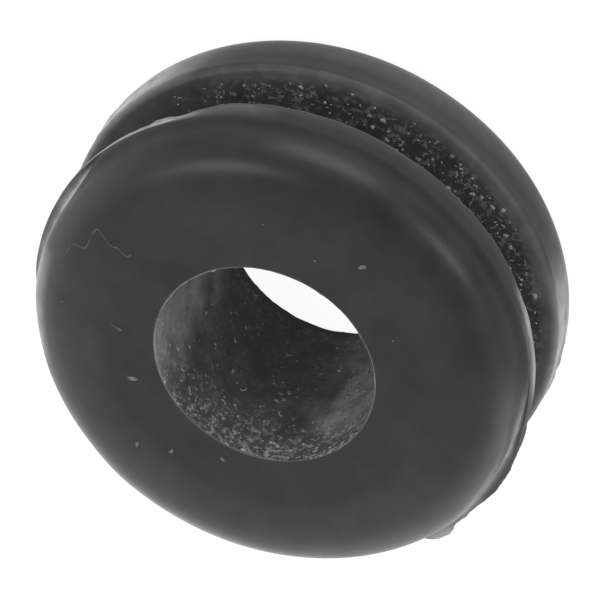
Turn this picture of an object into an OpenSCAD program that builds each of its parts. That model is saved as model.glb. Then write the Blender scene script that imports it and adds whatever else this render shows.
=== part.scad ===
// Rubber grommet: one moulded ring that lines a round hole in a sheet metal panel.
// The panel's edge sits in the groove between the two flanges, and a cable
// passes through the bore without rubbing on the metal.
// The origin is the centre of the ring, and +Z runs along the bore.

/* [Flanges] */
// Outer diameter of the two flanges
flange_d = 14.3; // [12.5:0.1:20]
// Thickness of each flange, from its end face to the groove
flange_t = 2.35; // [1.9:0.05:5]
// Radius of the shoulder that rounds each end face into the rim
shoulder_r = 1.4; // [0.4:0.05:1.8]
// Radius of the rim's edge beside the groove
lip_r = 0.2; // [0.1:0.05:0.5]

/* [Panel groove] */
// Width of the groove, which is the thickness of the panel
groove_w = 1.6; // [0.8:0.1:4]
// Diameter of the groove's floor, which is the diameter of the panel's hole
groove_d = 9.5; // [7.8:0.1:11.5]
// Radius of the two fillets along the groove's floor
floor_fillet_r = 0.2; // [0.05:0.05:0.35]

/* [Cable bore] */
// Diameter of the bore
bore_d = 6.35; // [3:0.05:8]
// Radius of the rounded edge at each mouth of the bore
mouth_r = 0.1; // [0.05:0.05:0.8]

/* [Hidden] */
$fn = 128;

flange_r = flange_d / 2;
groove_r = groove_d / 2;
bore_r = bore_d / 2;

// Height of an end face above the middle of the groove
face_z = groove_w / 2 + flange_t;

// How far a cutting shape runs past the surface that it cuts
past = 0.1;

// The waste outside a round of radius r, on a corner at the origin that points to +x +y
module corner_waste(r) {
    translate([-r, -r]) difference() {
        square(r + past);
        circle(r = r);
    }
}

// The groove seen in section: a slot that is open outwards, with rounded floor corners
module groove_section() {
    difference() {
        translate([groove_r, -groove_w / 2]) square([flange_r - groove_r + past, groove_w]);
        for (end = [0, 1]) mirror([0, end])
            translate([groove_r, groove_w / 2]) mirror([1, 0]) corner_waste(floor_fillet_r);
    }
}

// What rounds one flange in section: its shoulder, its lip and its mouth of the bore
module flange_rounding() {
    translate([flange_r, face_z]) corner_waste(shoulder_r);
    translate([flange_r, groove_w / 2]) mirror([0, 1]) corner_waste(lip_r);
    translate([bore_r, face_z]) mirror([1, 0]) corner_waste(mouth_r);
}

// Half the grommet cut through its axis, from the bore's wall on the left to the rim on the right
module grommet_section() {
    difference() {
        translate([bore_r, -face_z]) square([flange_r - bore_r, 2 * face_z]);
        groove_section();
        for (end = [0, 1]) mirror([0, end]) flange_rounding();
    }
}

// The whole moulding is its section turned about the bore's axis
module grommet() {
    color([0.17, 0.17, 0.175]) rotate_extrude() grommet_section();
}

grommet();
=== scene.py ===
import math
import bpy
from mathutils import Matrix, Vector
from mathutils.bvhtree import BVHTree


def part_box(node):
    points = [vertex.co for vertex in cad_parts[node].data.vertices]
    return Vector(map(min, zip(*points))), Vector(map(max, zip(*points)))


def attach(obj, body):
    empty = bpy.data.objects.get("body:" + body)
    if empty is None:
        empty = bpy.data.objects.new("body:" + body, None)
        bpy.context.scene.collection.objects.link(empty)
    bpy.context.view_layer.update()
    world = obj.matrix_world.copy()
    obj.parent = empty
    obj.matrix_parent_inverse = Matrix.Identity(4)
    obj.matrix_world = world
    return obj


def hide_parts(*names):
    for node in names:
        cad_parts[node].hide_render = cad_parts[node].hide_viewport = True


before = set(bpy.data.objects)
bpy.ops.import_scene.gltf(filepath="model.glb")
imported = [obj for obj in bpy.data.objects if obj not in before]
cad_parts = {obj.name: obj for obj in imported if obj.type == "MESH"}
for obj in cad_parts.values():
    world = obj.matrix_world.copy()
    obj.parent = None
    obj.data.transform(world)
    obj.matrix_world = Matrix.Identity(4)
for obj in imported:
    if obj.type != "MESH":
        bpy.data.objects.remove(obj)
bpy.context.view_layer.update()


# ---- The ring -----------------------------------------------------------------------------
# One soft ring of black rubber, pressed in a two-part steel mould and cured in it. Its section
# is turned about the bore: two thick flanges with well rounded outer shoulders, and between
# them the groove that snaps over the edge of a panel's hole.

box_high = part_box("grommet")[1]
flange_r = box_high.x
face_z = box_high.z
flange_t = 0.00235
groove_r = 0.00475
bore_r = 0.003175
lip_r = 0.00022
fillet_r = 0.0002
mouth_r = 0.00004
# The front flange's edge is drawn in to a longer round, where it left the mould first
front_lip_x, front_lip_z = 0.0003, 0.00027
# Each shoulder is a round whose radius grows as it eases into the end face
shoulder_high = 0.0014
ease_r, ease_rate = 0.012, math.radians(4)
# Talc lies loose on the groove's walls inside this radius, where nothing has rubbed it off
powder_r, powder_fade = 0.0068, 0.0002

RIGHT, UP, LEFT, DOWN = 0, 90, 180, 270
# What each point of the section tells the rows that are turned from it. First, how they leave the
# moulded form: set in, drawn in, flared, lifted, or squeezed out as flash, or as burr, which is
# below 0 on the back flange. Then the talc: loose, a haze (which also carries painted sheen), rubbed
# in, and a painted sheen on the front shoulder and the face's outer edge. Then the painted highlights
# on the edges: of the lip and mouth, of the back rim, and above, below and along the shelf. Last,
# the bore's rows, and which of them lie deep in it.
MARKS = ("inset", "drawn", "flare", "lift", "flash", "burr",
         "powder", "haze_and_sheen", "rubbed", "shoulder_sheen",
         "edge", "back_rim_sheen", "brow", "crest", "ledge",
         "bore", "deep")


def between(first, second, t):
    """The value that lies a share t of the way from first to second."""
    return first + t * (second - first)


def ramp(value, low, high):
    """The share of the way from low to high that value has gone, kept within 0 and 1."""
    return min(1.0, max(0.0, (value - low) / (high - low)))


def peak(t, place, width):
    """1 at place, falling to 0 at width from it."""
    return max(0.0, 1.0 - abs(t - place) / width)


class Section:
    """A closed outline in the plane of radius and height, walked anticlockwise."""

    def __init__(self):
        self.points = []
        self.outward = []
        self.marks = {name: [] for name in MARKS}

    def add(self, point, outward, marks):
        self.points.append((point[0], 0.0, point[1]))
        self.outward.append((outward[0], 0.0, outward[1]))
        for name, values in self.marks.items():
            values.append(marks.get(name, 0.0))

    def straight(self, start, end, facing, steps, marks=None):
        """Points from start up to end, which the next stretch adds; facing is in degrees."""
        outward = (math.cos(math.radians(facing)), math.sin(math.radians(facing)))
        for i in range(steps):
            t = i / steps
            point = (between(start[0], end[0], t), between(start[1], end[1], t))
            self.add(point, outward, marks(t) if marks else {})

    def rounded(self, centre, radius, first, last, steps, marks=None):
        """An arc from one angle to another. It is hollow, facing its centre, if it runs clockwise."""
        side = 1 if last > first else -1
        across, high = radius if isinstance(radius, tuple) else (radius, radius)
        for i in range(steps):
            t = i / steps
            a = math.radians(between(first, last, t))
            point = (centre[0] + across * math.cos(a), centre[1] + high * math.sin(a))
            outward = Vector((side * math.cos(a) / across, side * math.sin(a) / high)).normalized()
            self.add(point, outward, marks(t) if marks else {})


# The shoulder is walked from the end face in small turns: the angle, the reach and the drop so far
PER_DEGREE = 10
small_turn = math.radians(1 / PER_DEGREE)
tight_r = shoulder_high - ease_r * ease_rate ** 2 / (1 + ease_rate ** 2)
shoulder_path = [(0.0, 0.0, 0.0)]
for step in range(90 * PER_DEGREE):
    a = math.radians((step + 0.5) / PER_DEGREE)
    radius = tight_r + ease_r * math.exp(-a / ease_rate)
    reach, drop = shoulder_path[-1][1:]
    reach += radius * math.cos(a) * small_turn
    drop += radius * math.sin(a) * small_turn
    shoulder_path.append((math.radians((step + 1) / PER_DEGREE), reach, drop))
shoulder_angles = [0, 1, 2, 3, 4, 5, 6.5, 8, 10, 12, 15, 18, 22, 26, 30, 35, 40, 45, 50, 55, 60,
                   65, 70, 75, 80, 84, 87]
last_angle = 89
foot_begins = shoulder_path[50 * PER_DEGREE][1]
foot_ends = shoulder_path[-1][1]

section = Section()
wall_z = face_z - flange_t
rim_end_z = face_z - shoulder_high
back_rim_z, front_rim_z = -wall_z - lip_r, wall_z + front_lip_z
back_lip_x, front_wall_x = flange_r - lip_r, flange_r - front_lip_x
floor_x, floor_end_z = groove_r + fillet_r, wall_z - fillet_r
face_out_x = flange_r - foot_ends
face_in_x, bore_z = bore_r + mouth_r, face_z - mouth_r
face_edge_x = face_in_x + 0.00004
# Down to here the bore's wall beside its mouth is all talc
near_mouth = bore_z - 0.00013
# How much talc is left deep in the groove, loose and as a haze
loose_talc, talc_haze = 0.65, 0.22


def wall_marks(radius):
    """The talc on a groove's wall at that radius: loose inside powder_r, rubbed to a haze outside."""
    loose = ramp(radius, powder_r, powder_r - powder_fade)
    return {"powder": loose_talc * loose, "haze_and_sheen": talc_haze * loose, "rubbed": 1.0 - loose}


def floor_marks(t):
    """The talc on the groove's floor and fillets, which lies as it does deep on the walls."""
    return wall_marks(groove_r)


def foot_marks(angle):
    """The front shoulder's marks, with where it gets painted sheen and highlights. Its foot is set in where
    the mould's halves are out of line.
    """
    reach = shoulder_path[round(angle * PER_DEGREE)][1]
    share = max(0.0, reach - foot_begins) / (foot_ends - foot_begins)
    return {"inset": share ** 1.4, "drawn": ramp(angle, 20, last_angle), "shoulder_sheen": ramp(angle, -20, 20),
            "ledge": ramp(angle, 66, 78), "brow": ramp(angle, 28, 52)}


def add_shoulder(end, angles, marks):
    """A shoulder on the front end, 1, or the back end, -1, at those angles from the end face."""
    for angle in angles:
        a, reach, drop = shoulder_path[round(angle * PER_DEGREE)]
        section.add((face_out_x + reach, end * (face_z - drop)), (math.sin(a), end * math.cos(a)),
                    marks(angle))


# Back flange: rim, lip and the groove's wall. The rim and lip get painted sheen and painted highlights
section.straight((flange_r, -rim_end_z), (flange_r, back_rim_z), RIGHT, 10,
                 lambda t: {"burr": -peak(t, 0.1, 0.15), "edge": 0.03, "back_rim_sheen": 1.0,
                            "haze_and_sheen": 0.22 * peak(t, 0.0, 0.5) + 0.1 * t ** 3})
section.rounded((back_lip_x, back_rim_z), lip_r, RIGHT, UP, 7,
                lambda t: {"rubbed": t, "haze_and_sheen": 0.1 * (1.0 - t), "back_rim_sheen": (1.0 - t) ** 2})
section.straight((back_lip_x, -wall_z), (floor_x, -wall_z), UP, 14,
                 lambda t: wall_marks(between(back_lip_x, floor_x, t)))
# The groove's floor, between its fillets
section.rounded((floor_x, -floor_end_z), fillet_r, DOWN, LEFT, 4, floor_marks)
section.straight((groove_r, -floor_end_z), (groove_r, floor_end_z), RIGHT, 6, floor_marks)
section.rounded((floor_x, floor_end_z), fillet_r, LEFT, UP, 4, floor_marks)
# Front flange: the groove's wall, lip and rim
section.straight((floor_x, wall_z), (front_wall_x, wall_z), DOWN, 12,
                 lambda t: {**wall_marks(between(floor_x, front_wall_x, t)),
                            "lift": t ** 3, "flare": 0.5 * t ** 6, "drawn": t * t})
section.rounded((front_wall_x, front_rim_z), (front_lip_x, front_lip_z), DOWN - 360, RIGHT, 8,
                lambda t: {"flash": peak(t, 0.7, 0.25), "burr": peak(t, 0.7, 0.25), "lift": 1.0,
                           "flare": 0.5 + 0.4 * t, "drawn": 1.0, "haze_and_sheen": 0.45 * (1.0 - t),
                           "edge": 0.1 + 0.9 * peak(t, 0.7, 0.35)})
section.straight((flange_r, front_rim_z), (flange_r, rim_end_z), RIGHT, 10,
                 lambda t: {"lift": 1.0 - t, "flare": 0.9 + 0.1 * t, "drawn": 1.0,
                            "crest": 1.0 - t * t, "haze_and_sheen": 0.05 * (1.0 - t) ** 2,
                            "edge": 0.03 + 0.65 * peak(t, 0.0, 0.45)})
# The mould's halves meet here. Where they are out of line, the foot above is set in to a thin shelf
shelf_z, shelf_t = rim_end_z + 0.000004, 0.000012
for share in (0.0, 0.12, 0.5, 0.88):
    section.add((flange_r, shelf_z + shelf_t * share), (1.0, 0.0),
                {"flare": 1.0 - share, "inset": share, "ledge": 1.0, "drawn": 1.0})
add_shoulder(1, [last_angle] + shoulder_angles[:0:-1], foot_marks)
# The front end face, the bore, whose talc was wiped thin but for its two ends, and the back face
section.straight((face_out_x, face_z), (face_edge_x, face_z), UP, 8,
                 lambda t: {"shoulder_sheen": max(0.0, 0.5 - 2.0 * t)})
section.straight((face_edge_x, face_z), (face_in_x, face_z), UP, 1)
section.rounded((face_in_x, bore_z), mouth_r, UP, LEFT, 3,
                lambda t: {"edge": t, "flash": 0.5 * t, "bore": t})
section.straight((bore_r, bore_z), (bore_r, near_mouth), LEFT, 2,
                 lambda t: {"edge": 1.0 - t, "flash": 0.5 - 0.5 * t, "powder": 0.9, "bore": 1.0})
section.straight((bore_r, near_mouth), (bore_r, -near_mouth), LEFT, 24,
                 lambda t: {"powder": max(0.16, 1.0 - 2.6 * t, 4.0 * t - 3.4), "bore": 1.0,
                            "deep": ramp(t, 0.1, 0.3)})
section.straight((bore_r, -near_mouth), (bore_r, -bore_z), LEFT, 2,
                 lambda t: {"flash": t, "bore": 1.0})
section.rounded((face_in_x, -bore_z), mouth_r, LEFT, DOWN, 3,
                lambda t: {"edge": 1.0 - t, "flash": 1.0 - t})
section.straight((face_in_x, -face_z), (face_out_x, -face_z), DOWN, 8)
# The back shoulder's outer rows get painted sheen and a painted highlight
add_shoulder(-1, shoulder_angles,
             lambda angle: {"haze_and_sheen": 0.24 * ramp(angle, 55, 87), "back_rim_sheen": ramp(angle, 75, 87)})

section_count = len(section.points)
section_mesh = bpy.data.meshes.new("ring_section")
section_mesh.from_pydata(section.points, [(i, (i + 1) % section_count) for i in range(section_count)], [])
outward_data = section_mesh.attributes.new("outward", "FLOAT_VECTOR", "POINT").data
outward_data.foreach_set("vector", [c for v in section.outward for c in v])
for name, values in section.marks.items():
    section_mesh.attributes.new(name, "FLOAT", "POINT").data.foreach_set("value", values)
section_object = bpy.data.objects.new("ring_section", section_mesh)
bpy.context.scene.collection.objects.link(section_object)


def add_node(tree, kind, inputs=(), **settings):
    """A new node with its settings, and its inputs: each is a value or another node's output."""
    made = tree.nodes.new(kind)
    for name, value in settings.items():
        setattr(made, name, value)
    for name, value in dict(inputs).items():
        if isinstance(value, bpy.types.NodeSocket):
            tree.links.new(value, made.inputs[name])
        else:
            made.inputs[name].default_value = value
    return made


def calc(tree, operation, *terms):
    """The output of a Math node on the terms, which are numbers or outputs."""
    return add_node(tree, "ShaderNodeMath", dict(enumerate(terms)), operation=operation).outputs[0]


def added(tree, *terms):
    """The sum of the terms."""
    total = terms[0]
    for term in terms[1:]:
        total = calc(tree, "ADD", total, term)
    return total


def times(tree, *terms):
    """The product of the terms."""
    product = terms[0]
    for term in terms[1:]:
        product = calc(tree, "MULTIPLY", product, term)
    return product


def ranged(tree, value, low, high, to_low=0.0, to_high=1.0, smooth=False):
    """The value, taken from the range low to high to another one, and kept within it."""
    return add_node(tree, "ShaderNodeMapRange", {
        "Value": value, "From Min": low, "From Max": high, "To Min": to_low, "To Max": to_high},
        interpolation_type="SMOOTHSTEP" if smooth else "LINEAR").outputs[0]


def tree_noise(tree, vector, scale, detail=2.0, roughness=0.5):
    """Noise from 0 to 1, with about scale waves to the metre."""
    return add_node(tree, "ShaderNodeTexNoise", {
        "Vector": vector, "Scale": scale, "Detail": detail, "Roughness": roughness}).outputs[0]


def named(tree, name, kind="FLOAT"):
    """The attribute of that name, in a geometry tree."""
    return add_node(tree, "GeometryNodeInputNamedAttribute", {"Name": name}, data_type=kind).outputs[0]


def position(tree):
    """Where each point lies, in a geometry tree."""
    return add_node(tree, "GeometryNodeInputPosition").outputs[0]


def new_geometry_tree(name, sizes):
    """A geometry node tree with a named input for each of the sizes, and its two end nodes."""
    tree = bpy.data.node_groups.new(name, "GeometryNodeTree")
    tree.interface.new_socket("Geometry", in_out="INPUT", socket_type="NodeSocketGeometry")
    for label, kind in sizes:
        tree.interface.new_socket(label, in_out="INPUT", socket_type="NodeSocket" + kind)
    tree.interface.new_socket("Geometry", in_out="OUTPUT", socket_type="NodeSocketGeometry")
    return tree, tree.nodes.new("NodeGroupInput").outputs, tree.nodes.new("NodeGroupOutput").inputs


def end_tree(tree, geometry, material, result):
    """Closes a geometry tree: its result is smooth, real and of that material."""
    geometry = add_node(tree, "GeometryNodeSetShadeSmooth", {0: geometry}).outputs[0]
    geometry = add_node(tree, "GeometryNodeRealizeInstances", {0: geometry}).outputs[0]
    geometry = add_node(tree, "GeometryNodeSetMaterial", {
        "Geometry": geometry, "Material": material}).outputs[0]
    tree.links.new(geometry, result[0])


def grow(source, tree, values, name):
    """Runs the tree on the source object with these values and returns the result as a plain object."""
    modifier = source.modifiers.new(name, "NODES")
    modifier.node_group = tree
    for item in tree.interface.items_tree:
        if item.in_out == "INPUT" and item.name in values:
            modifier[item.identifier] = values[item.name]
    bpy.context.view_layer.update()
    evaluated = source.evaluated_get(bpy.context.evaluated_depsgraph_get())
    mesh = bpy.data.meshes.new_from_object(evaluated)
    source.modifiers.remove(modifier)
    mesh.name = name
    grown = bpy.data.objects.new(name, mesh)
    bpy.context.scene.collection.objects.link(grown)
    return grown


# The lathe: a grid with a column for each step round the bore and a row for each section point
lathe, given, result = new_geometry_tree("turn_the_section", [
    ("Around", "Int"), ("Along", "Int"), ("Waviness", "Float"), ("Wave Length", "Float"),
    ("Inset", "Float"), ("Drawn In", "Float"), ("Flare", "Float"), ("Tag Height", "Float"),
    ("Lip Lift", "Float"), ("Flash Height", "Float"), ("Burr Height", "Float"), ("Rubber", "Material")])
rows = added(lathe, given["Along"], 1.0)
grid = add_node(lathe, "GeometryNodeMeshGrid", {
    "Vertices X": added(lathe, given["Around"], 1.0), "Vertices Y": rows}).outputs[0]
number = add_node(lathe, "GeometryNodeInputIndex").outputs[0]
column = calc(lathe, "FLOOR", calc(lathe, "DIVIDE", number, rows))
row = calc(lathe, "SUBTRACT", number, times(lathe, column, rows))
row = calc(lathe, "MODULO", row, given["Along"])
turn = times(lathe, calc(lathe, "DIVIDE", column, given["Around"]), math.tau)


def from_section(value, kind):
    """The section's value at the row that a vertex of the grid lies on."""
    return add_node(lathe, "GeometryNodeSampleIndex", {
        "Geometry": given["Geometry"], "Value": value, "Index": row}, data_type=kind).outputs[0]


def marked(name):
    """The section's mark of that name, at the vertex's row."""
    return from_section(named(lathe, name), "FLOAT")


def turned(vector):
    """A vector of the section, swung round the bore to the vertex's column."""
    return add_node(lathe, "ShaderNodeVectorRotate", {
        "Vector": vector, "Angle": turn}, rotation_type="Z_AXIS").outputs[0]


def scaled(vector, factor):
    """The vector times a factor."""
    return add_node(lathe, "ShaderNodeVectorMath", {
        0: vector, "Scale": factor}, operation="SCALE").outputs[0]


def rest_of(value):
    """What value leaves of 1."""
    return calc(lathe, "SUBTRACT", 1.0, value)


place = turned(from_section(position(lathe), "FLOAT_VECTOR"))
outward = turned(from_section(named(lathe, "outward", "FLOAT_VECTOR"), "FLOAT_VECTOR"))
radial = turned((1.0, 0.0, 0.0))


def arc(bearing, full, none):
    """1 within full degrees of a bearing round the bore, falling to 0 at none degrees from it."""
    aim = (math.cos(math.radians(bearing)), math.sin(math.radians(bearing)), 0.0)
    toward = add_node(lathe, "ShaderNodeVectorMath", {0: radial, 1: aim}, operation="DOT_PRODUCT")
    return ranged(lathe, toward.outputs["Value"], math.cos(math.radians(none)),
                  math.cos(math.radians(full)), smooth=True)


def arcs(*shares):
    """The sum of arcs: each has its share, then its bearing and its full and none degrees."""
    return added(lathe, *[times(lathe, arc(bearing, full, none), share)
                          for share, bearing, full, none in shares])


# The moulding waves all over, and what crept out of the mould is ragged
wave = tree_noise(lathe, place, calc(lathe, "DIVIDE", 1.0, given["Wave Length"]), 1.0)
wave = times(lathe, calc(lathe, "SUBTRACT", wave, 0.5), given["Waviness"])
uneven = times(lathe, tree_noise(lathe, place, 420.0, 1.0), 2.0)
ragged = ranged(lathe, tree_noise(lathe, place, 1300.0, 3.0, 0.6), 0.4, 0.7)
flash = times(lathe, marked("flash"), given["Flash Height"], added(lathe, 0.35, ragged))
# A fin stands on the front flange's lip, and the back flange's rim has two low ones
fin = arc(-38.0, 1.0, 4.0)
low_fin = calc(lathe, "MAXIMUM", arc(-9.0, 8.0, 18.0), arc(190.0, 8.0, 18.0))
burr = added(lathe, times(lathe, calc(lathe, "MAXIMUM", marked("burr"), 0.0), fin),
             times(lathe, calc(lathe, "MINIMUM", marked("burr"), 0.0), low_fin, -1.0))
burr = times(lathe, burr, given["Burr Height"], added(lathe, 0.3, ragged))
relief = added(lathe, flash, burr, wave)
# The halves are out of line at both sides: a shelf, and on one side a thin edge with two torn tags
stepped = arcs((1.0, 10.0, 14.0, 32.0), (0.45, 183.0, 9.0, 24.0))
inset = times(lathe, marked("inset"), stepped, given["Inset"], uneven)
thin_edge = times(lathe, given["Flare"], arc(167.0, 9.0, 24.0),
                  added(lathe, 0.5, times(lathe, ragged, 0.5)))
tags = calc(lathe, "MAXIMUM", arc(153.0, 0.5, 4.8), arcs((0.6, 142.0, 1.0, 6.0)))
flare = times(lathe, marked("flare"), added(lathe, thin_edge, times(lathe, given["Tag Height"], tags)))
# The front flange is a little out of round too, and its lip is lifted, most of all at two places
drawn_in = times(lathe, marked("drawn"), arc(46.0, 8.0, 30.0), given["Drawn In"])
spread = calc(lathe, "SUBTRACT", flare, added(lathe, inset, drawn_in))
lifted = arcs((0.76, -22.0, 14.0, 32.0), (0.12, 210.0, 8.0, 34.0))
lift = times(lathe, marked("lift"), given["Lip Lift"], added(lathe, lifted, 0.22))
raised = calc(lathe, "SUBTRACT", lift, times(lathe, flare, 0.3))
shaped = place
for shift in (scaled(outward, relief), scaled(radial, spread),
              add_node(lathe, "ShaderNodeCombineXYZ", {2: raised}).outputs[0]):
    shaped = add_node(lathe, "ShaderNodeVectorMath", {0: shaped, 1: shift}, operation="ADD").outputs[0]
skin = add_node(lathe, "GeometryNodeSetPosition", {"Geometry": grid, "Position": shaped}).outputs[0]

# Loose talc lies on the bore's +Y side more than on the rest, and is swept off the groove in part
facing_back = add_node(lathe, "ShaderNodeSeparateXYZ", {0: outward}).outputs[1]
in_bore = marked("bore")
lean = ranged(lathe, facing_back, -1.0, 0.6, 1.0, 0.35)
swept = times(lathe, rest_of(in_bore), arc(-12.0, 16.0, 34.0), 0.85)
powder = added(lathe, times(lathe, marked("powder"), lean, rest_of(swept)),
               times(lathe, in_bore, arc(160.0, 12.0, 32.0), 0.5))
# Painted sheen: the bore's flanks, seen at a slant, are painted paler than its far wall, but for one
# stretch beside the mouth
flank_sheen = added(lathe, facing_back, times(lathe, tree_noise(lathe, place, 900.0, 3.0, 0.6), 0.5),
              arcs((0.05, 150.0, 10.0, 40.0)))
flank_sheen = ranged(lathe, flank_sheen, -0.62, -0.28, 0.35, 1.6, smooth=True)
by_mouth = times(lathe, rest_of(marked("deep")), arc(165.0, 20.0, 60.0), 0.7)
flank_sheen = times(lathe, flank_sheen, rest_of(by_mouth))
rubbed = calc(lathe, "SUBTRACT", 0.5, arcs((0.25, -14.0, 18.0, 48.0)))
# Painted sheen joins the talc haze here: on the bore's flanks, and on the +Y side of the front shoulder and
# face edge
haze_and_sheen = added(lathe, marked("haze_and_sheen"), times(lathe, in_bore, flank_sheen),
             times(lathe, marked("shoulder_sheen"), arc(90.0, 55.0, 105.0), 0.13),
             times(lathe, marked("rubbed"), rubbed))
# Painted highlights on edges: the lip where it is lifted, and the bore's mouth in part
lip_highlight = added(lathe, arcs((2.4, 211.0, 8.0, 18.0), (1.6, -28.0, 9.0, 20.0)),
               times(lathe, fin, 0.4), 0.12)
lit_mouth = calc(lathe, "MAXIMUM", arc(15.0, 6.0, 24.0), arc(168.0, 14.0, 32.0))
lip_and_mouth_highlight = added(lathe, times(lathe, lip_highlight, rest_of(in_bore)),
              times(lathe, in_bore, ragged, lit_mouth, 1.2))
# Along the shelf a painted highlight runs in its inner corner, and the torn tags are pale too
inset_row = marked("inset")
inner_line = calc(lathe, "SUBTRACT", times(lathe, inset_row, 5.5), 2.0)
left_line = times(lathe, calc(lathe, "MAXIMUM", 0.35, inner_line),
                  arcs((1.4, 12.0, 16.0, 30.0), (1.0, 24.0, 8.0, 20.0)))
right_line = times(lathe, calc(lathe, "MAXIMUM", 0.3, inner_line), arc(180.0, 6.0, 26.0), 0.5)
fringe = added(lathe, times(lathe, tags, 0.8, calc(lathe, "SUBTRACT", 1.3, inset_row)),
               added(lathe, left_line, right_line), arcs((0.6, 159.0, 6.0, 11.0)))
# Painted highlights on the shoulder's brow above the shelf, on the rim's crest below it, and on the back
# rim
brow = arcs((1.9, 21.0, 10.0, 18.0), (0.23, 188.0, 9.0, 24.0))
crest = arcs((1.2, -28.0, 9.0, 20.0), (0.28, -50.0, 7.0, 17.0), (0.7, 209.0, 5.0, 13.0))
painted_back_rim_sheen = arcs((1.15, -6.0, 8.0, 26.0), (1.75, 190.0, 6.0, 33.0), (0.8, -14.0, 10.0, 28.0))
edge = added(lathe, times(lathe, marked("edge"), lip_and_mouth_highlight), times(lathe, marked("ledge"), fringe),
             times(lathe, marked("brow"), brow), times(lathe, marked("crest"), crest),
             times(lathe, marked("back_rim_sheen"), painted_back_rim_sheen))
for name, value in (("powder", powder), ("haze_and_sheen", haze_and_sheen), ("edge", edge)):
    skin = add_node(lathe, "GeometryNodeStoreNamedAttribute", {
        "Geometry": skin, "Name": name, "Value": value}, data_type="FLOAT", domain="POINT").outputs[0]
skin = add_node(lathe, "GeometryNodeMergeByDistance", {"Geometry": skin, "Distance": 1e-7}).outputs[0]
end_tree(lathe, skin, given["Rubber"], result)


def new_shader_group(name, sizes, results):
    """An empty shader node group with its named inputs and outputs, and its two end nodes."""
    tree = bpy.data.node_groups.new(name, "ShaderNodeTree")
    for label, kind, value in sizes:
        socket = tree.interface.new_socket(label, in_out="INPUT", socket_type="NodeSocket" + kind)
        if value is not None:
            socket.default_value = value
    for label, kind in results:
        tree.interface.new_socket(label, in_out="OUTPUT", socket_type="NodeSocket" + kind)
    return tree, tree.nodes.new("NodeGroupInput").outputs, tree.nodes.new("NodeGroupOutput").inputs


def mixed(tree, factor, first, second):
    """A colour between two, by factor."""
    return add_node(tree, "ShaderNodeMix", {0: factor, 6: first, 7: second}, data_type="RGBA").outputs[2]


# Dust and grain: a fine speckle, the clumps it comes in, and thin crooked threads between them
grain, given, result = new_shader_group("fine_grain", [
    ("Vector", "Vector", None), ("Grain Size", "Float", 0.0001), ("Clump Size", "Float", 0.001)],
    [("Grain", "Float"), ("Clumps", "Float"), ("Threads", "Float")])
fine = tree_noise(grain, given["Vector"], calc(grain, "DIVIDE", 1.0, given["Grain Size"]), 2.0, 0.6)
clumps = tree_noise(grain, given["Vector"], calc(grain, "DIVIDE", 1.0, given["Clump Size"]), 3.0, 0.55)
bends = tree_noise(grain, given["Vector"], calc(grain, "DIVIDE", 0.45, given["Grain Size"]), 1.0, 0.4)
off_line = calc(grain, "ABSOLUTE", calc(grain, "SUBTRACT", bends, 0.5))
threads = times(grain, ranged(grain, off_line, 0.02, 0.055, 1.0, 0.0, smooth=True),
                ranged(grain, fine, 0.45, 0.55, smooth=True))
grain.links.new(ranged(grain, fine, 0.3, 0.7), result["Grain"])
grain.links.new(ranged(grain, clumps, 0.3, 0.7), result["Clumps"])
grain.links.new(threads, result["Threads"])


def new_material(name):
    """A material with its node tree and its Principled shader."""
    material = bpy.data.materials.new(name)
    material.use_nodes = True
    return material, material.node_tree, material.node_tree.nodes["Principled BSDF"]


def grained(tree, grain_size, clump_size):
    """The outputs of the grain group on Object coordinates, at those sizes."""
    where = add_node(tree, "ShaderNodeTexCoord").outputs["Object"]
    return add_node(tree, "ShaderNodeGroup", {
        "Vector": where, "Grain Size": grain_size, "Clump Size": clump_size}, node_tree=grain).outputs


def attribute(tree, name):
    """The attribute of that name, in a material."""
    return add_node(tree, "ShaderNodeAttribute", attribute_name=name).outputs["Fac"]


def dress(tree, shader, colour, roughness, height, strength, distance):
    """Gives the shader that colour and roughness, and bumps it by that height."""
    bump = add_node(tree, "ShaderNodeBump", {"Strength": strength, "Distance": distance, "Height": height})
    tree.links.new(colour, shader.inputs["Base Color"])
    tree.links.new(roughness, shader.inputs["Roughness"])
    tree.links.new(bump.outputs[0], shader.inputs["Normal"])


RUBBER_DARK = (0.0100, 0.0098, 0.0103, 1.0)
RUBBER_LIGHT = (0.0195, 0.0190, 0.0193, 1.0)
TALC_FILM_AND_SHEEN = (0.40, 0.39, 0.385, 1.0)
# The pale edge colour paints highlights on the edges
PAINTED_EDGE_HIGHLIGHT = (0.50, 0.495, 0.49, 1.0)
rubber, tree, shader = new_material("moulded_rubber")
skin_grain = grained(tree, grain_size=0.00006, clump_size=0.0013)
film = grained(tree, grain_size=0.00015, clump_size=0.0006)
body_colour = mixed(tree, skin_grain["Clumps"], RUBBER_DARK, RUBBER_LIGHT)
# A haze of rubbed-in talc, with painted sheen in places, and the loose talc that stands on it in specks and
# threads
haze_and_sheen = attribute(tree, "haze_and_sheen")
haze_and_sheen_mask = times(tree, haze_and_sheen, ranged(tree, film["Clumps"], 0.0, 1.0, 0.28, 0.55))
body_colour = mixed(tree, haze_and_sheen_mask, body_colour, TALC_FILM_AND_SHEEN)
specks = times(tree, ranged(tree, film["Grain"], 0.5, 0.85, smooth=True),
               ranged(tree, film["Clumps"], 0.2, 0.75))
threads = times(tree, film["Threads"], ranged(tree, skin_grain["Clumps"], 0.35, 0.6))
loose_mask = times(tree, calc(tree, "MAXIMUM", specks, threads), attribute(tree, "powder"))
body_colour = mixed(tree, times(tree, loose_mask, 0.7), body_colour, TALC_FILM_AND_SHEEN)
# The pale edge mix paints highlights on the lip, mouth, shelf, brow, crest and back rim; the torn tags are
# pale too
edge_mask = times(tree, attribute(tree, "edge"), ranged(tree, film["Clumps"], 0.2, 0.8, 0.33, 0.5))
body_colour = mixed(tree, edge_mask, body_colour, PAINTED_EDGE_HIGHLIGHT)
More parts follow.
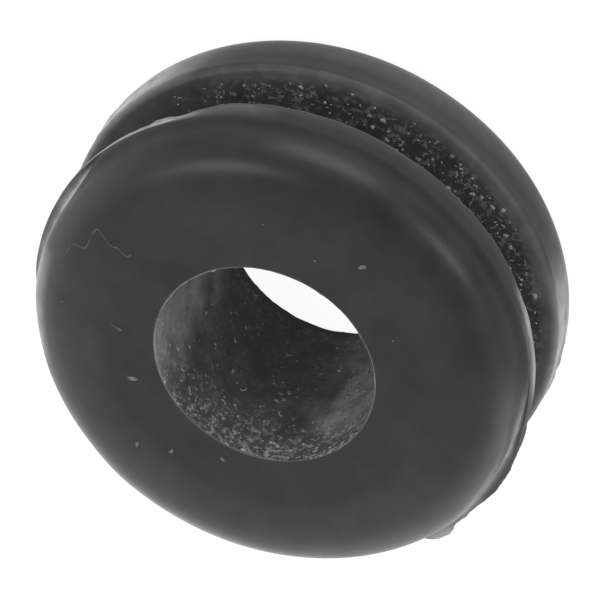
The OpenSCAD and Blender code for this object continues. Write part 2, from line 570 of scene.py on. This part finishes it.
# Talc takes the rubber's gloss away
dusted = added(tree, loose_mask, calc(tree, "MINIMUM", haze_and_sheen, 1.0))
roughness = added(tree, ranged(tree, skin_grain["Clumps"], 0.0, 1.0, 0.30, 0.37), times(tree, dusted, 0.4))
height = added(tree, times(tree, skin_grain["Grain"], 0.1), loose_mask)
dress(tree, shader, body_colour, roughness, height, strength=0.6, distance=0.000014)

ring = grow(section_object, lathe, {
    "Around": 512, "Along": section_count, "Waviness": 0.00005, "Wave Length": 0.006,
    "Inset": 0.0003, "Drawn In": 0.00015, "Flare": 0.00023, "Tag Height": 0.00025,
    "Lip Lift": 0.0006, "Flash Height": 0.00004, "Burr Height": 0.00005, "Rubber": rubber}, "grommet_ring")
bpy.data.objects.remove(section_object)
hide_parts("grommet")
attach(ring, "root")


# ---- Talc ----------------------------------------------------------------------------------
# Crumbs and curls of the dusting talc that keeps the rings from sticking together in their bag.
# It has rubbed off the outside, and stays in the groove and on the wall of the bore.

scatter, given, result = new_geometry_tree("scatter_crumbs", [
    ("Per Square Metre", "Float"), ("Crumb Size", "Float"), ("Seed", "Int"), ("Talc", "Material")])
patches = ranged(scatter, tree_noise(scatter, position(scatter), 900.0), 0.35, 0.65, 0.35, 1.6)
points = add_node(scatter, "GeometryNodeDistributePointsOnFaces", {
    "Mesh": given["Geometry"], "Seed": given["Seed"],
    "Density": times(scatter, named(scatter, "powder"), patches, given["Per Square Metre"])})


def dented_ball(tree, subdivisions, noise):
    """A ball one across, pushed about by the noise's colour."""
    ball = add_node(tree, "GeometryNodeMeshIcoSphere", {"Subdivisions": subdivisions, "Radius": 0.5})
    dent = add_node(tree, "ShaderNodeVectorMath", {
        0: noise.outputs[1], 1: (0.5, 0.5, 0.5)}, operation="SUBTRACT").outputs[0]
    return add_node(tree, "GeometryNodeSetPosition", {
        "Geometry": ball.outputs[0], "Offset": dent}).outputs[0]


def drawn_tube(tree, path, sides, radius, scale=1.0):
    """A tube of that many sides along a curve, closed at both ends."""
    across = add_node(tree, "GeometryNodeCurvePrimitiveCircle", {"Resolution": sides, "Radius": radius})
    return add_node(tree, "GeometryNodeCurveToMesh", {
        "Curve": path, "Profile Curve": across.outputs[0], "Scale": scale, "Fill Caps": True}).outputs[0]


# Three kinds of lump, each dented in its own way, and one curl, all about one across
lumps = 3
lump_step = 3.1
curl_r, curl_thread_r, curl_angle = 0.9, 0.2, 1.7
shapes = add_node(scatter, "GeometryNodeGeometryToInstance")
for lump in range(lumps):
    noise = add_node(scatter, "ShaderNodeTexNoise", {
        "Vector": position(scatter), "Scale": 1.7, "W": lump_step * lump, "Detail": 0.0},
        noise_dimensions="4D")
    scatter.links.new(dented_ball(scatter, 1, noise), shapes.inputs[0])
bend = add_node(scatter, "GeometryNodeCurveArc", {
    "Resolution": 6, "Radius": curl_r, "Sweep Angle": curl_angle}, mode="RADIUS").outputs[0]
curl = add_node(scatter, "GeometryNodeTransform", {
    "Geometry": drawn_tube(scatter, bend, sides=5, radius=curl_thread_r),
    "Translation": (-0.8, -0.5, 0.0)}).outputs[0]
scatter.links.new(curl, shapes.inputs[0])

turn_by = add_node(scatter, "FunctionNodeRandomValue", {
    "Min": (0.0, 0.0, 0.0), "Max": (0.0, 0.0, math.tau), "Seed": 11}, data_type="FLOAT_VECTOR").outputs[0]
turn_by = add_node(scatter, "FunctionNodeEulerToRotation", {0: turn_by}).outputs[0]
lying = add_node(scatter, "FunctionNodeRotateRotation", {
    0: points.outputs["Rotation"], 1: turn_by}, rotation_space="LOCAL").outputs[0]
# Most crumbs are small, and a few are much larger. Each is longer than it is wide, and thin.
least, more, rarely = 0.45, 1.15, 4.0
longer, thinner = 1.2, 0.4
chance = add_node(scatter, "FunctionNodeRandomValue", {"Seed": 12}, data_type="FLOAT").outputs[1]
size = added(scatter, least, times(scatter, calc(scatter, "POWER", chance, rarely), more))
size = times(scatter, size, given["Crumb Size"])
flat = add_node(scatter, "ShaderNodeCombineXYZ", {
    0: times(scatter, size, longer), 1: size, 2: times(scatter, size, thinner)}).outputs[0]
pick = add_node(scatter, "FunctionNodeRandomValue", {
    4: 0, 5: lumps, "Seed": 13}, data_type="INT").outputs[2]
laid = add_node(scatter, "GeometryNodeInstanceOnPoints", {
    "Points": points.outputs[0], "Instance": shapes.outputs[0], "Pick Instance": True,
    "Instance Index": pick, "Rotation": lying, "Scale": flat}).outputs[0]
tone = add_node(scatter, "FunctionNodeRandomValue", {"Seed": 14}, data_type="FLOAT").outputs[1]
laid = add_node(scatter, "GeometryNodeStoreNamedAttribute", {
    "Geometry": laid, "Name": "tone", "Value": tone}, data_type="FLOAT", domain="INSTANCE").outputs[0]
end_tree(scatter, laid, given["Talc"], result)

TALC_DIM = (0.20, 0.197, 0.195, 1.0)
TALC_PALE = (0.37, 0.364, 0.361, 1.0)
dust_roughness = (0.7, 0.95)
talc, tree, shader = new_material("dusting_talc")
crumb_grain = grained(tree, grain_size=0.00003, clump_size=0.0004)
talc_tone = times(tree, attribute(tree, "tone"), added(tree, 0.4, crumb_grain["Clumps"]))
talc_colour = mixed(tree, talc_tone, TALC_DIM, TALC_PALE)
talc_roughness = ranged(tree, crumb_grain["Grain"], 0.0, 1.0, *dust_roughness)
dress(tree, shader, talc_colour, talc_roughness, crumb_grain["Grain"], strength=0.7, distance=0.00001)

crumbs = grow(ring, scatter, {
    "Per Square Metre": 3.2e7, "Crumb Size": 0.00011, "Seed": 5, "Talc": talc}, "talc_crumbs")
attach(crumbs, "root")


# ---- Lint and flecks -------------------------------------------------------------------------
# A crooked hair of lint lies over the front end face's rounded edge. Two short ones and a few
# flecks of dust cling to the face. Each lies on the rubber where it fell.

# A bearing in degrees from +X, a distance from the axis in millimetres, and a weight or a size.
# A strand's weight says how thick and how pale it is there.
LINT = [(-13, 4.73), (-11, 4.8), (-11.2, 5), (-11.4, 5.15), (-10.5, 5.27), (-10.6, 5.45),
        (-11.6, 5.69), (-11.7, 5.9), (-9.3, 5.89), (-6, 5.83), (-4, 5.84), (-3.2, 6.02),
        (-2.4, 6.15), (-0.9, 6.2), (1.3, 6.19)]
STRANDS = [[(bearing, distance, 1.0) for bearing, distance in LINT],
           [(19.2, 4.46, 0.7), (20.1, 4.30, 1.1), (20.9, 4.13, 1.35)],
           [(42.5, 4.19, 1.0), (43.3, 4.04, 1.9), (44.1, 3.88, 1.0)]]
FLECKS = [(76.7, 4.47, 1.4), (67.7, 5.14, 1.4), (-101.8, 4.79, 1.9), (94.8, 3.7, 1.25),
          (-132, 4.04, 0.6), (-66, 4.68, 0.5), (-87, 4.08, 0.6), (16.5, 5.9, 0.5)]
fleck_weight = 1.6
fleck_width, fleck_height = 0.65, 0.2
sunk, standing = -0.00001, 0.000005
surface = BVHTree.FromPolygons([v.co for v in ring.data.vertices], [p.vertices for p in ring.data.polygons])


def on_the_face(bearing, distance, above):
    """The point of the front end face or its shoulder at that bearing and distance, raised a little."""
    angle = math.radians(bearing)
    start = Vector((0.001 * distance * math.cos(angle), 0.001 * distance * math.sin(angle), 2.0 * face_z))
    spot, facing = surface.ray_cast(start, Vector((0.0, 0.0, -1.0)))[:2]
    return spot + above * facing


places = []
joins = []
weights = []
for strand in STRANDS:
    joins += [(len(places) + i, len(places) + i + 1) for i in range(len(strand) - 1)]
    places += [on_the_face(bearing, distance, sunk) for bearing, distance, weight in strand]
    weights += [weight for bearing, distance, weight in strand]
sizes = [0.0] * len(places)
for bearing, distance, size in FLECKS:
    places.append(on_the_face(bearing, distance, standing))
    weights.append(fleck_weight)
    sizes.append(size)
path_mesh = bpy.data.meshes.new("lint_path")
path_mesh.from_pydata(places, joins, [])
path_mesh.attributes.new("fleck", "FLOAT", "POINT").data.foreach_set("value", sizes)
path_mesh.attributes.new("weight", "FLOAT", "POINT").data.foreach_set("value", weights)
path_object = bpy.data.objects.new("lint_path", path_mesh)
bpy.context.scene.collection.objects.link(path_object)

lay, given, result = new_geometry_tree("lay_lint", [
    ("Thickness", "Float"), ("Fleck Size", "Float"), ("Lint", "Material")])
strands = add_node(lay, "GeometryNodeMeshToCurve", {"Mesh": given["Geometry"]}).outputs[0]
strands = add_node(lay, "GeometryNodeCurveSplineType", {
    "Curve": strands}, spline_type="CATMULL_ROM").outputs[0]
strands = add_node(lay, "GeometryNodeResampleCurve", {"Curve": strands, "Count": 60}).outputs[0]
thickness = added(lay, tree_noise(lay, position(lay), 2500.0), 0.4)
thickness = times(lay, thickness, named(lay, "weight"), given["Thickness"])
strands = add_node(lay, "GeometryNodeSetCurveRadius", {"Curve": strands, "Radius": thickness}).outputs[0]
strands = drawn_tube(lay, strands, sides=6, radius=1.0, scale=thickness)
# Each fleck is longer than it is wide, and thin, and lies turned at random
fleck_size = named(lay, "fleck")
spots = add_node(lay, "GeometryNodeMeshToPoints", {
    "Mesh": given["Geometry"], "Selection": calc(lay, "GREATER_THAN", fleck_size, 0.0)}).outputs[0]
noise = add_node(lay, "ShaderNodeTexNoise", {"Vector": position(lay), "Scale": 2.2, "Detail": 1.0})
flat = add_node(lay, "ShaderNodeCombineXYZ", {
    0: times(lay, fleck_size, given["Fleck Size"]),
    1: times(lay, fleck_size, times(lay, given["Fleck Size"], fleck_width)),
    2: times(lay, given["Fleck Size"], fleck_height)}).outputs[0]
swing = add_node(lay, "FunctionNodeRandomValue", {
    "Min": (0.0, 0.0, 0.0), "Max": (0.0, 0.0, math.tau), "Seed": 3}, data_type="FLOAT_VECTOR").outputs[0]
flecks = add_node(lay, "GeometryNodeInstanceOnPoints", {
    "Points": spots, "Instance": dented_ball(lay, 2, noise), "Rotation": swing, "Scale": flat}).outputs[0]
strewn = add_node(lay, "GeometryNodeJoinGeometry")
for part in (flecks, strands):
    lay.links.new(part, strewn.inputs[0])
end_tree(lay, strewn.outputs[0], given["Lint"], result)

LINT_DIM = (0.045, 0.045, 0.046, 1.0)
LINT_PALE = (0.20, 0.197, 0.195, 1.0)
lint, tree, shader = new_material("grey_lint")
lint_grain = grained(tree, grain_size=0.00002, clump_size=0.0003)
lint_tone = calc(tree, "MAXIMUM", ranged(tree, lint_grain["Clumps"], 0.2, 0.8, 0.0, 0.25),
                 ranged(tree, attribute(tree, "weight"), 1.0, 2.0))
lint_colour = mixed(tree, lint_tone, LINT_DIM, LINT_PALE)
lint_roughness = ranged(tree, lint_grain["Grain"], 0.0, 1.0, *dust_roughness)
dress(tree, shader, lint_colour, lint_roughness, lint_grain["Grain"], strength=0.5, distance=0.000005)

strewn = grow(path_object, lay, {
    "Thickness": 0.000042, "Fleck Size": 0.00013, "Lint": lint}, "lint_and_flecks")
bpy.data.objects.remove(path_object)
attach(strewn, "root")


# ---- The floor and the light -----------------------------------------------------------------
# A plain white sweep under the ring, in a soft studio. The ring lies flat on its end face.

half_floor = 1.5
floor_mesh = bpy.data.meshes.new("floor")
floor_mesh.from_pydata([(-half_floor, -half_floor, -face_z), (half_floor, -half_floor, -face_z),
                        (half_floor, half_floor, -face_z), (-half_floor, half_floor, -face_z)],
                       [], [(0, 1, 2, 3)])
floor = bpy.data.objects.new("floor", floor_mesh)
bpy.context.scene.collection.objects.link(floor)

WHITE = (1.0, 1.0, 1.0, 1.0)


def matt(tree, grey):
    """A plain matt grey."""
    return add_node(tree, "ShaderNodeBsdfDiffuse", {"Color": (grey, grey, grey, 1.0)}).outputs[0]


def glowing(tree, strength, grey):
    """A white glow of that strength on a matt grey, which keeps the ring's shadow."""
    glow = add_node(tree, "ShaderNodeEmission", {"Color": WHITE, "Strength": strength}).outputs[0]
    return add_node(tree, "ShaderNodeAddShader", {0: glow, 1: matt(tree, grey)}).outputs[0]


paper = bpy.data.materials.new("white_sweep")
paper.use_nodes = True
tree = paper.node_tree
tree.nodes.clear()
# In the ring's own gloss the sweep is white too, but for the shaded spot inside the bore. It is
# brightest behind the ring, and close beside it on both sides.
where = add_node(tree, "ShaderNodeTexCoord").outputs["Object"]
from_axis = add_node(tree, "ShaderNodeVectorMath", {0: where}, operation="LENGTH").outputs["Value"]
sideways, to_back = add_node(tree, "ShaderNodeSeparateXYZ", {0: where}).outputs[:2]
sideways = calc(tree, "ABSOLUTE", sideways)
in_front = times(tree, ranged(tree, to_back, -0.0118, -0.0092, 0.42, 1.0),
                 ranged(tree, sideways, 0.0, 0.0095, 0.9, 0.3))
far_out = times(tree, ranged(tree, from_axis, 0.014, 0.030, 0.0, 0.7),
                ranged(tree, to_back, -0.002, 0.004, 1.0, 0.0))
behind = ranged(tree, to_back, 0.0025, 0.0075, smooth=True)
beside = times(tree, ranged(tree, to_back, -0.0057, -0.0031, smooth=True),
               ranged(tree, to_back, 0.0008, 0.0020, 1.0, 0.0, smooth=True),
               ranged(tree, from_axis, 0.0081, 0.0088, 1.0, 0.0, smooth=True))
mirrored = times(tree, added(tree, in_front, far_out, behind, beside),
                 ranged(tree, from_axis, 0.0050, 0.0075, smooth=True))
mirrored = calc(tree, "MAXIMUM", mirrored, 0.2)
path = add_node(tree, "ShaderNodeLightPath").outputs
seen = calc(tree, "MAXIMUM", path["Is Camera Ray"], path["Is Transmission Ray"])
sweep = add_node(tree, "ShaderNodeMixShader", {0: seen, 1: matt(tree, 0.88), 2: glowing(tree, 0.92, 0.2)})
sweep = add_node(tree, "ShaderNodeMixShader", {
    0: path["Is Glossy Ray"], 1: sweep.outputs[0], 2: glowing(tree, mirrored, 0.1)})
add_node(tree, "ShaderNodeOutputMaterial", {"Surface": sweep.outputs[0]})
floor_mesh.materials.append(paper)

world = bpy.data.worlds.new("studio")
world.use_nodes = True
bpy.context.scene.world = world
tree = world.node_tree
tree.nodes.clear()
# The ring's gloss sees a dim ceiling, and behind it a bright wall up to some height
overhead = Vector((-0.05, -0.22, 0.975)).normalized()
looking = add_node(tree, "ShaderNodeTexCoord").outputs["Generated"]
toward = add_node(tree, "ShaderNodeVectorMath", {0: looking, 1: overhead}, operation="DOT_PRODUCT")
ceiling = ranged(tree, toward.outputs["Value"], 0.70, 1.0, 0.62, 0.33, smooth=True)
aim = add_node(tree, "ShaderNodeSeparateXYZ", {0: looking}).outputs
wall = times(tree, ranged(tree, aim[2], 0.45, 0.74, 1.0, 0.0, smooth=True),
             ranged(tree, aim[1], -0.4, 0.5, smooth=True), 0.8)
path = add_node(tree, "ShaderNodeLightPath").outputs
level = calc(tree, "MAXIMUM", times(tree, path["Is Glossy Ray"], added(tree, ceiling, wall)),
             times(tree, path["Is Diffuse Ray"], 0.8))
level = calc(tree, "MAXIMUM", level, path["Is Camera Ray"])
background = add_node(tree, "ShaderNodeBackground", {"Color": WHITE, "Strength": level})
add_node(tree, "ShaderNodeOutputWorld", {"Surface": background.outputs[0]})

softbox_far = 0.30


def add_softbox(name, direction, width, height, radiance):
    """A square lamp that shines on the ring from that direction, as bright as radiance all over."""
    lamp = bpy.data.lights.new(name, "AREA")
    lamp.shape = "RECTANGLE"
    lamp.size = width
    lamp.size_y = height
    lamp.energy = radiance * math.pi * width * height
    holder = bpy.data.objects.new(name, lamp)
    toward_lamp = Vector(direction).normalized()
    holder.location = toward_lamp * softbox_far
    holder.rotation_euler = toward_lamp.to_track_quat("Z", "Y").to_euler()
    bpy.context.scene.collection.objects.link(holder)


add_softbox("softbox_right", (0.446, 0.0, 0.894), width=0.10, height=0.08, radiance=3.6)
add_softbox("softbox_left", (-0.560, -0.625, 0.543), width=0.08, height=0.06, radiance=5.0)
add_softbox("softbox_low", (0.270, -0.900, 0.300), width=0.20, height=0.14, radiance=2.1)


# ---- The camera --------------------------------------------------------------------------------
# It looks down on the ring past the near flange, and is rolled so that the ring seems to stand.

camera_data = bpy.data.cameras.new("camera")
camera_data.lens = 471.8
camera_data.sensor_width = 36.0
camera = bpy.data.objects.new("camera", camera_data)
bpy.context.scene.collection.objects.link(camera)
bpy.context.scene.camera = camera
back = Vector((0.0, -0.6365, 0.7713)).normalized()
up = Vector((0.498, -0.669, -0.552))
up = (up - up.dot(back) * back).normalized()
right = up.cross(back)
off_right, off_up = 0.1377, 0.2480
camera_far = 30.0 * flange_r
centre = Vector((0.0, 0.0, face_z)) + flange_r * (off_right * right + off_up * up)
turned_to = Matrix((right, up, back)).transposed().to_4x4()
camera.matrix_world = Matrix.Translation(centre + camera_far * back) @ turned_to

bpy.context.scene.view_settings.view_transform = "Standard"
